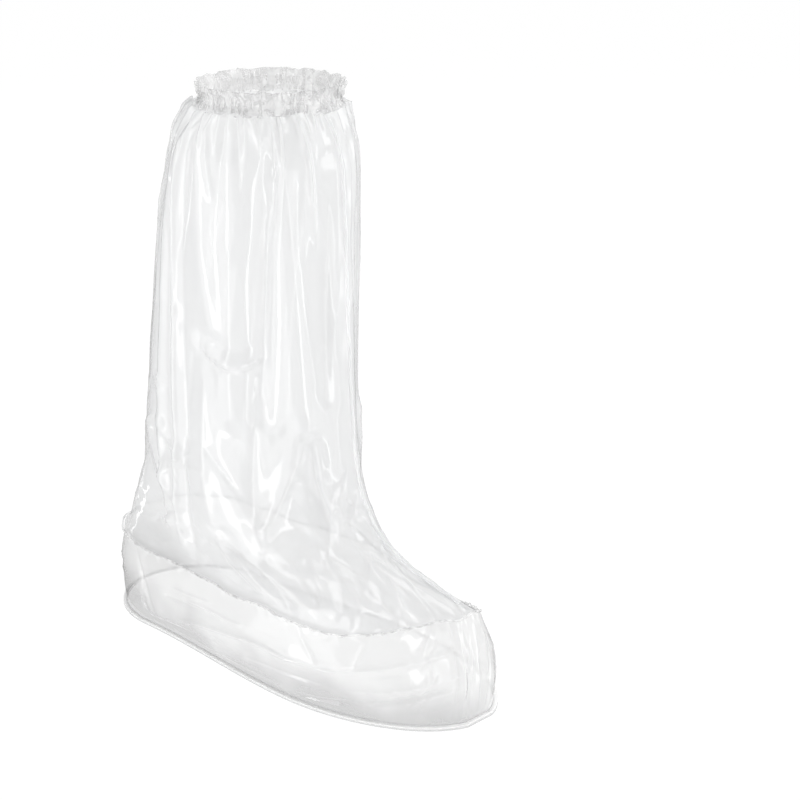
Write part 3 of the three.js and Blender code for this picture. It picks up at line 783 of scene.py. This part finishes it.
clear_film = film_material("clear_film", (0.78, 0.785, 0.79), alpha=0.465, roughness=0.04)
band_film = film_material("band_film", (0.76, 0.765, 0.77), alpha=0.48, roughness=0.04)
# The side wall's colour carries painted shade, darker towards the sole's weld and the heel.
painted_shade_to_weld(band_film, reach=30 * MM, dark=0.40, light=0.86)
collar_film = film_material(
    "collar_film", (0.9, 0.9, 0.9), alpha=0.36, roughness=0.06, crinkle_scale=200, crinkle=1.0,
)
# The collar's dark and light flecks are painted shade and painted highlights of its crimps.
painted_light_flecks(collar_film, scale=120, stretch=0.4, dark=0.44, light=0.94)
# The collar's inside has lighter flecks than its outside: painted light on the inner wall.
collar_inside = film_material(
    "collar_inside", (0.9, 0.9, 0.9), alpha=0.34, roughness=0.06, ior=1.6, crinkle_scale=90, crinkle=0.6,
)
painted_light_flecks(collar_inside, scale=60, stretch=0.35, dark=0.62, light=0.96)
sole_film = film_material("sole_film", (0.80, 0.805, 0.81), alpha=0.4, roughness=0.2)
weld_film = film_material(
    "welded_film", (0.97, 0.975, 0.98), alpha=0.45, roughness=0.06, ior=1.5, crinkle_scale=60, crinkle=0.03,
)
seam_film = film_material(
    "seam_film", (0.97, 0.975, 0.98), alpha=0.5, roughness=0.06, ior=1.5, crinkle_scale=90, crinkle=0.3,
)
# The seam's flecks are painted shade and painted highlights of its puckers.
painted_light_flecks(seam_film, scale=110, stretch=1, dark=0.70, light=1.0)
welt_film = film_material(
    "welt_film", (1.0, 1.0, 1.0), alpha=0.95, roughness=0.4, ior=1.2, crinkle_scale=60, crinkle=0.02,
)
# The sole's turned-up lip is a darker grey: painted shade for the dark line along the sole's edge.
edge_film = film_material("edge_film", (0.5, 0.5, 0.505), alpha=0.35, roughness=0.3, ior=1.3)
elastic_cover = film_material("elastic_cover", (0.95, 0.95, 0.94), alpha=0.05, roughness=0.6, ior=1.1)

# Pieces


def dress(piece, node):
    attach(piece, "root")
    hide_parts(node)


turn, share = grid(LEG_COLUMNS, LEG_ROWS)
base = leg_points(turn, share)
leg_surface = base + normals(base) * leg_relief(turn, share, base)[..., None]
leg = mesh_from_grid("leg_shell", leg_surface, clear_film)
dress(leg, "leg_film")

turn, share = grid(BAND_COLUMNS, BAND_ROWS)
base = band_points(turn, share)
band_surface = base + normals(base) * band_relief(turn, share)[..., None]
band = mesh_from_grid("band_shell", band_surface, band_film)
dress(band, "foot_band")

turn, share = grid(COLLAR_COLUMNS, COLLAR_ROWS)
inner_rows = range(COLLAR_ROWS // 2, COLLAR_ROWS)
collar = mesh_from_grid("collar_shell", collar_points(turn, share), collar_film, inner_rows, collar_inside)
dress(collar, "collar_casing")

turns = np.linspace(0, 2 * np.pi, RIM_COLUMNS, endpoint=False)

# The welded rim of the sole
x, y = sole_plan(turns, SOLE_WELD_WIDTH / 2)
rim_z = SOLE_TOP + PIECE_GAP + SOLE_WELD_HEIGHT / 2
path = np.stack([x, y, np.full_like(x, rim_z)], -1)
rim = loop_mesh("sole_rim", path, SOLE_WELD_WIDTH / 2, SOLE_WELD_HEIGHT / 2, TUBE_SIDES, welt_film)
dress(rim, "sole_weld")

# The puckered weld round the side wall's top, thinner at the heel
x, y = sole_plan(turns, band_inset(turns, 1.0) - PIECE_GAP - BAND_WELD_WIDTH / 2)
path = np.stack([x, y, band_top(turns) + SEAM_PUCKER * waves(turns, 52, 30, 90, 10)], -1)
thinner = mix(1, 0.5, smooth(0.9, 1, -np.cos(turns)))
uneven_width = np.clip(0.70 + 0.22 * waves(turns, 53, 30, 90, 8), 0.4, 1) * thinner
uneven_height = np.clip(0.60 + 0.22 * waves(turns, 54, 30, 90, 8), 0.3, 1) * thinner
half_width = BAND_WELD_WIDTH / 2 * uneven_width
half_height = BAND_WELD_HEIGHT / 2 * uneven_height
seam = loop_mesh("band_rim", path, half_width, half_height, SEAM_SIDES, seam_film)
dress(seam, "band_weld")

# The fin down the shin and along the instep
climb = np.linspace(0.05, 0.95, FIN_STEPS)
seat = leg_points(np.zeros_like(climb), climb)
run = np.gradient(seat, axis=0)
out = unit(np.stack([run[:, 2], np.zeros_like(climb), -run[:, 0]], -1))
wander = FIN_WANDER * (np.sin(climb * 83) + np.sin(climb * 131 + 1))
angle = np.linspace(0, 2 * np.pi, TUBE_SIDES, endpoint=False)[:, None]
reach = PIECE_GAP + SHIN_WELD_WIDTH / 2 * (1 + np.cos(angle))
fin_points = seat + reach[..., None] * out
fin_points[..., 1] += SHIN_WELD_THICKNESS / 2 * np.sin(angle) + wander
fin = mesh_from_grid("shin_fin", np.swapaxes(fin_points, 0, 1)[::-1], weld_film)
dress(fin, "shin_weld")

# The sole's sheet, with its edge turned up to the weld
turn, share = grid(RIM_COLUMNS, SOLE_RINGS + LIP_RINGS)
ring = share * (SOLE_RINGS + LIP_RINGS)
spread = np.clip(ring / SOLE_RINGS, 0.004, 1)
x, y = sole_plan(turn, 0)
ripple = SHEET_RIPPLE * facets(
    signed_degrees(turn), spread, SOLE_DEGREE, SOLE_RUN, cell=(30 * MM, 30 * MM), seed=71,
)
lip = np.clip((ring - SOLE_RINGS) / LIP_RINGS, 0, 1) * (SOLE_TOP - SHEET_LIFT)
z = SHEET_LIFT + (ripple + SHEET_ARCH) * (1 - spread**6) + lip
# The lip's rows take the darker edge film, painted shade along the sole's edge.
lip_rows = range(SOLE_RINGS, SOLE_RINGS + LIP_RINGS)
sheet = np.stack([x * spread, y * spread, z], -1)
sole = mesh_from_grid("sole_sheet", sheet, sole_film, lip_rows, edge_film)
dress(sole, "sole")

# The elastic in the collar
path = collar_ring(COLLAR_RIM_RADIUS - ELASTIC_INSET, turns, ELASTIC_Z)
elastic = loop_mesh(
    "elastic_loop", path, ELASTIC_THICKNESS / 2, ELASTIC_WIDTH / 2, TUBE_SIDES, elastic_cover,
)
dress(elastic, "elastic_band")


# Stage, lights and camera


def stage_plane(name, size, brightness):
    """A level plane at the origin that glows white."""
    bpy.ops.mesh.primitive_plane_add(size=size, location=(0, 0, 0))
    plane = bpy.context.object
    plane.name = name
    material = bpy.data.materials.new(name)
    material.use_nodes = True
    shader = material.node_tree.nodes["Principled BSDF"]
    shader.inputs["Base Color"].default_value = (0.05, 0.05, 0.05, 1)
    shader.inputs["Roughness"].default_value = 1
    shader.inputs["Specular IOR Level"].default_value = 0
    shader.inputs["Emission Color"].default_value = (1, 1, 1, 1)
    shader.inputs["Emission Strength"].default_value = brightness
    plane.data.materials.append(material)
    return plane


def area_light(name, place, aim, width, height, power):
    light = bpy.data.lights.new(name, "AREA")
    light.shape = "RECTANGLE"
    light.size = width
    light.size_y = height
    light.energy = power
    lamp = bpy.data.objects.new(name, light)
    lamp.location = place
    lamp.rotation_euler = (Vector(aim) - Vector(place)).to_track_quat("-Z", "Y").to_euler()
    bpy.context.scene.collection.objects.link(lamp)
    return lamp


def strip(name, azimuth, distance, low, high, width, radiance):
    """A softbox at an azimuth in degrees from +X, between two heights, seen as a streak in the film."""
    angle = math.radians(azimuth)
    place = (distance * math.cos(angle), distance * math.sin(angle), (low + high) / 2)
    height = high - low
    lamp = area_light(name, place, SOFTBOX_AIM, width, height, radiance * math.pi * width * height)
    lamp.visible_camera = False


floor = stage_plane("floor", FLOOR_SIZE, FLOOR_BRIGHTNESS)
floor.visible_glossy = False
floor.visible_shadow = False

# Softboxes: azimuth, distance, lower and upper height, width and radiance
strip("soft_side", -120, 1.5, -0.62, 0.5, 1.0, 1.6)
strip("soft_near", -38, 1.9, -0.80, 0.4, 1.4, 1.35)
strip("strip_side", -119, 1.4, -0.60, 0.5, 0.16, 4.2)
strip("strip_front", -56, 1.7, -0.72, 0.4, 0.18, 4.2)
strip("strip_near", -20, 1.8, -0.80, 0.1, 0.10, 5.0)
strip("strip_right", 50, 1.5, -0.62, 0.6, 0.34, 4.5)
strip("strip_back", -173, 1.5, -0.22, 0.6, 0.06, 5)
strip("high_side", -120, 1.8, 0.5, 1.3, 1.0, 3.0)
strip("high_right", 5, 1.8, 0.5, 1.3, 0.5, 3.4)
high_front = area_light("high_front", (1.04, 0.54, 1.55), aim=(0.1, 0, 0.05), width=1.1, height=0.8, power=13)
high_front.visible_camera = False
strip("back_card", 137, 2.0, 0.5, 1.9, 2.4, 1.2)
area_light("overhead", (-0.3, 0.3, 2.2), aim=(0, 0, 0.1), width=1.4, height=1.0, power=16)

world = bpy.data.worlds.new("studio")
world.use_nodes = True
background = world.node_tree.nodes["Background"]
background.inputs["Color"].default_value = (1, 1, 1, 1)
background.inputs["Strength"].default_value = WORLD_STRENGTH
bpy.context.scene.world = world
bpy.context.scene.view_settings.view_transform = "Standard"

camera_data = bpy.data.cameras.new("camera")
camera_data.lens = CAMERA_LENS
camera_data.sensor_width = CAMERA_SENSOR
camera = bpy.data.objects.new("camera", camera_data)
camera.location = CAMERA_PLACE
camera.rotation_euler = CAMERA_AIM.to_track_quat("-Z", "Y").to_euler()
bpy.context.scene.collection.objects.link(camera)
bpy.context.scene.camera = camera
